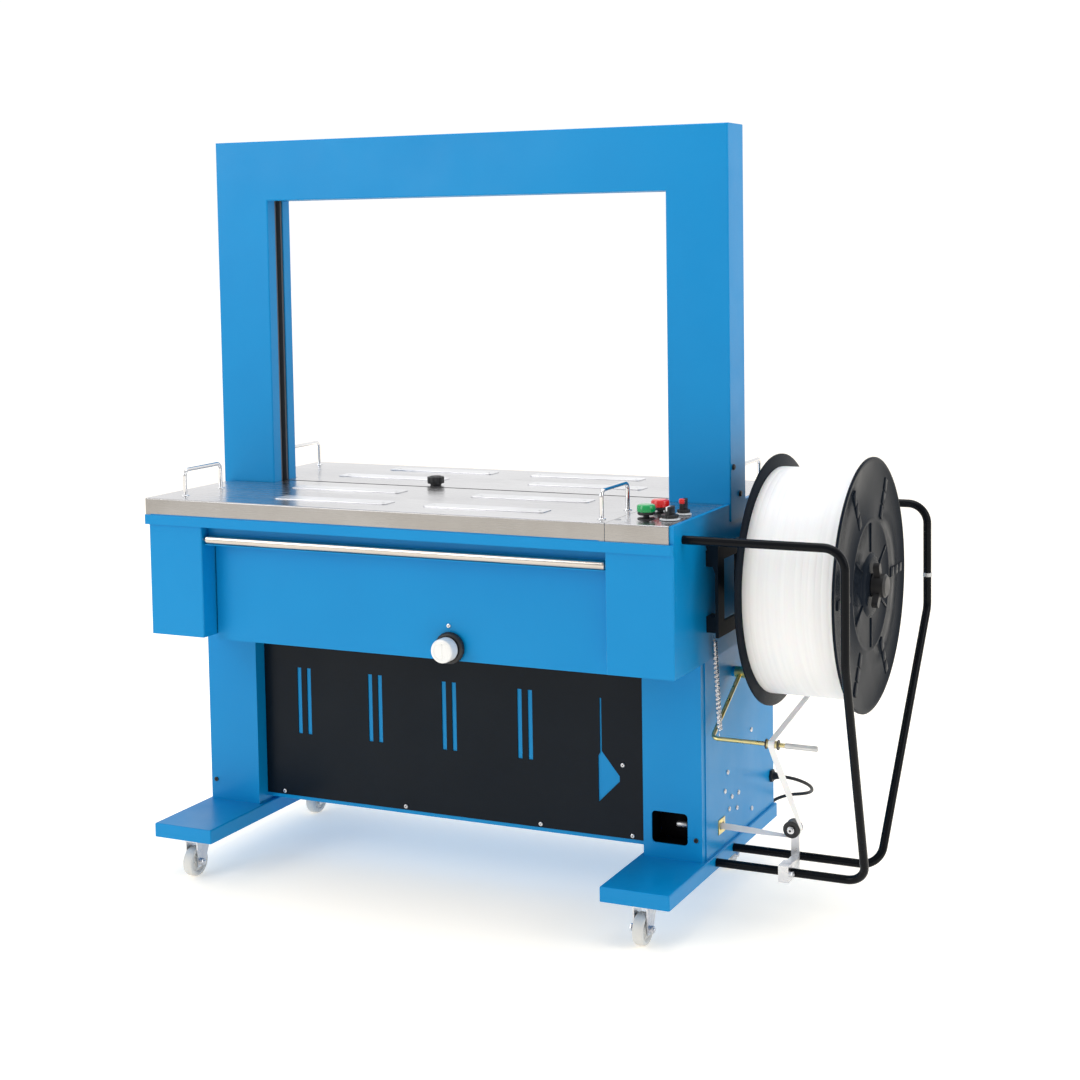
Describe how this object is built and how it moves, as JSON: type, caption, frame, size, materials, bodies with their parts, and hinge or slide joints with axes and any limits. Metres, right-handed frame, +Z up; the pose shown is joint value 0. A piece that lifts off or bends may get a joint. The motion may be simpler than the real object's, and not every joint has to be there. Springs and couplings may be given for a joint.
{
  "type": "arch strapping machine",
  "caption": "Wheeled arch strapping machine: steel table with lift-up plates, portal arch with a strap track, strap cabinet, and a side reel dispenser with brake arm and pulley.",
  "frame": {"origin": "on the floor under the middle of the machine's box, without its power cord", "axes": "+X to the right along the table towards the reel, +Y to the back through the arch, +Z up"},
  "size_m": [1.457, 0.7751, 1.493],
  "materials": {
    "blue_paint": "powder coat, satin",
    "black_paint": "powder coat, semi-gloss",
    "table_steel": "brushed along the table",
    "polished_steel": "polished",
    "zinc_steel": "zinc plated",
    "machined_steel": "machined",
    "aluminium": "cast, satin",
    "black_plastic": "moulded, satin",
    "white_plastic": "moulded, gloss",
    "green_plastic": "moulded, gloss",
    "red_plastic": "moulded, gloss",
    "track_plastic": "moulded",
    "strap_plastic": "embossed polypropylene",
    "castor_tread": "nylon",
    "rubber_black": "soft, matte"
  },
  "bodies": {
    "machine_frame": {"left_foot": "blue_paint", "right_foot": "blue_paint", "left_column": "blue_paint", "right_column": "blue_paint", "table_frame": "blue_paint", "left_end_cover": "blue_paint", "right_end_cover": "blue_paint", "rear_cover": "blue_paint", "control_plate": "table_steel", "arch_housing": "blue_paint", "arch_track": "track_plastic", "head_frame": "machined_steel", "drive_motor": "aluminium", "cabinet_shell": "blue_paint", "pool_front_panel": "black_paint", "side_cover": "blue_paint", "panel_screws": "zinc_steel", "dispenser_front_loop": "black_paint", "dispenser_rear_loop": "black_paint", "reel_support": "black_paint", "pulley_bracket": "zinc_steel", "cable_gland": "black_plastic", "power_cord": "rubber_black", "cord_coil": "rubber_black", "power_plug": "rubber_black", "strap_run": "strap_plastic", "brake_spring": "zinc_steel"},
    "hinged_cover": {"front_cover": "blue_paint", "cover_hinge_bar": "polished_steel", "latch_base": "black_plastic"},
    "latch": {"latch_knob": "white_plastic"},
    "front_table": {"front_table_plate": "table_steel", "front_wear_strips": "polished_steel", "front_handles": "polished_steel"},
    "rear_table": {"rear_table_plate": "table_steel", "rear_wear_strips": "polished_steel", "rear_handles": "polished_steel"},
    "table_lock": {"table_lock_knob": "black_plastic"},
    "start": {"start_button": "green_plastic"},
    "stop": {"stop_button": "red_plastic"},
    "selector": {"mode_selector": "black_plastic"},
    "tension": {"tension_knob": "black_plastic"},
    "press": {"gripper_press": "machined_steel"},
    "cams": {"cam_shaft": "machined_steel"},
    "feed": {"feed_roller": "machined_steel"},
    "pinch": {"pinch_roller": "rubber_black"},
    "reel": {"reel_inner_flange": "black_plastic", "reel_outer_flange": "black_plastic", "strap_coil": "strap_plastic", "reel_wing_nut": "black_plastic"},
    "brake": {"brake_arm": "zinc_steel"},
    "pulley": {"strap_pulley": "black_plastic"},
    "front_left_swivel": {"front_left_fork": "zinc_steel"},
    "front_left_roll": {"front_left_wheel": "castor_tread"},
    "front_right_swivel": {"front_right_fork": "zinc_steel"},
    "front_right_roll": {"front_right_wheel": "castor_tread"},
    "rear_left_swivel": {"rear_left_fork": "zinc_steel"},
    "rear_left_roll": {"rear_left_wheel": "castor_tread"},
    "rear_right_swivel": {"rear_right_fork": "zinc_steel"},
    "rear_right_roll": {"rear_right_wheel": "castor_tread"}
  },
  "joints": [
    {"name": "cover_open", "type": "hinge", "parent": "machine_frame", "child": "hinged_cover", "pos_m": [-0.1515, -0.3055, 0.697], "axis": [-1, 0, 0], "range_deg": [0, 75]},
    {"name": "latch_turn", "type": "hinge", "parent": "hinged_cover", "child": "latch", "pos_m": [-0.0475, -0.2975, 0.515], "axis": [0, -1, 0], "range_deg": [0, 90]},
    {"name": "front_table_lift", "type": "hinge", "parent": "machine_frame", "child": "front_table", "pos_m": [-0.1515, -0.3175, 0.742], "axis": [1, 0, 0], "range_deg": [0, 88]},
    {"name": "rear_table_lift", "type": "hinge", "parent": "machine_frame", "child": "rear_table", "pos_m": [-0.1515, 0.3175, 0.742], "axis": [-1, 0, 0], "range_deg": [0, 88]},
    {"name": "table_lock_turn", "type": "hinge", "parent": "rear_table", "child": "table_lock", "pos_m": [-0.2495, 0.0395, 0.775], "axis": [0, 0, 1], "range_deg": [0, 90]},
    {"name": "start_press", "type": "slide", "parent": "machine_frame", "child": "start", "axis": [0, 0, -1], "range_m": [0, 0.004], "stiffness_N_per_m": 600, "springref_m": -0.002},
    {"name": "stop_press", "type": "slide", "parent": "machine_frame", "child": "stop", "axis": [0, 0, -1], "range_m": [0, 0.004], "stiffness_N_per_m": 600, "springref_m": -0.002},
    {"name": "mode_turn", "type": "hinge", "parent": "machine_frame", "child": "selector", "pos_m": [0.3885, -0.1785, 0.775], "axis": [0, 0, 1], "range_deg": [-45, 45]},
    {"name": "tension_turn", "type": "hinge", "parent": "machine_frame", "child": "tension", "pos_m": [0.3885, -0.2455, 0.775], "axis": [0, 0, 1], "range_deg": [0, 270]},
    {"name": "press_lift", "type": "slide", "parent": "machine_frame", "child": "press", "axis": [0, 0, 1], "range_m": [0, 0.012]},
    {"name": "cam_turn", "type": "hinge", "parent": "machine_frame", "child": "cams", "pos_m": [-0.1515, 0.0125, 0.66], "axis": [1, 0, 0], "continuous": true},
    {"name": "feed_turn", "type": "hinge", "parent": "machine_frame", "child": "feed", "pos_m": [-0.0015, 0.0125, 0.69], "axis": [0, 1, 0], "continuous": true},
    {"name": "pinch_turn", "type": "hinge", "parent": "machine_frame", "child": "pinch", "pos_m": [-0.0015, 0.0125, 0.6456], "axis": [0, 1, 0], "continuous": true},
    {"name": "reel_turn", "type": "hinge", "parent": "machine_frame", "child": "reel", "pos_m": [0.5035, 0.0065, 0.632], "axis": [1, 0, 0], "continuous": true},
    {"name": "brake_swing", "type": "hinge", "parent": "machine_frame", "child": "brake", "pos_m": [0.4185, 0.0325, 0.44], "axis": [-1, 0, 0], "range_deg": [0, 25], "stiffness_Nm_per_rad": 0.6, "springref_deg": -11.46, "deforming": ["brake_spring", "strap_run"]},
    {"name": "pulley_turn", "type": "hinge", "parent": "machine_frame", "child": "pulley", "pos_m": [0.5485, -0.0405, 0.168], "axis": [0, 1, 0], "continuous": true},
    {"name": "front_left_swivel_turn", "type": "hinge", "parent": "machine_frame", "child": "front_left_swivel", "pos_m": [-0.645, -0.2625, 0.08], "axis": [0, 0, 1], "continuous": true},
    {"name": "front_left_wheel_turn", "type": "hinge", "parent": "front_left_swivel", "child": "front_left_roll", "pos_m": [-0.645, -0.2825, 0.03], "axis": [1, 0, 0], "continuous": true},
    {"name": "front_right_swivel_turn", "type": "hinge", "parent": "machine_frame", "child": "front_right_swivel", "pos_m": [0.342, -0.2625, 0.08], "axis": [0, 0, 1], "continuous": true},
    {"name": "front_right_wheel_turn", "type": "hinge", "parent": "front_right_swivel", "child": "front_right_roll", "pos_m": [0.342, -0.2825, 0.03], "axis": [1, 0, 0], "continuous": true},
    {"name": "rear_left_swivel_turn", "type": "hinge", "parent": "machine_frame", "child": "rear_left_swivel", "pos_m": [-0.645, 0.1875, 0.08], "axis": [0, 0, 1], "continuous": true},
    {"name": "rear_left_wheel_turn", "type": "hinge", "parent": "rear_left_swivel", "child": "rear_left_roll", "pos_m": [-0.645, 0.1675, 0.03], "axis": [1, 0, 0], "continuous": true},
    {"name": "rear_right_swivel_turn", "type": "hinge", "parent": "machine_frame", "child": "rear_right_swivel", "pos_m": [0.342, 0.1875, 0.08], "axis": [0, 0, 1], "continuous": true},
    {"name": "rear_right_wheel_turn", "type": "hinge", "parent": "rear_right_swivel", "child": "rear_right_roll", "pos_m": [0.342, 0.1675, 0.03], "axis": [1, 0, 0], "continuous": true}
  ],
  "couplings": [
    {"joint": "pinch_turn", "follows": "feed_turn", "ratio": -1.75}
  ]
}
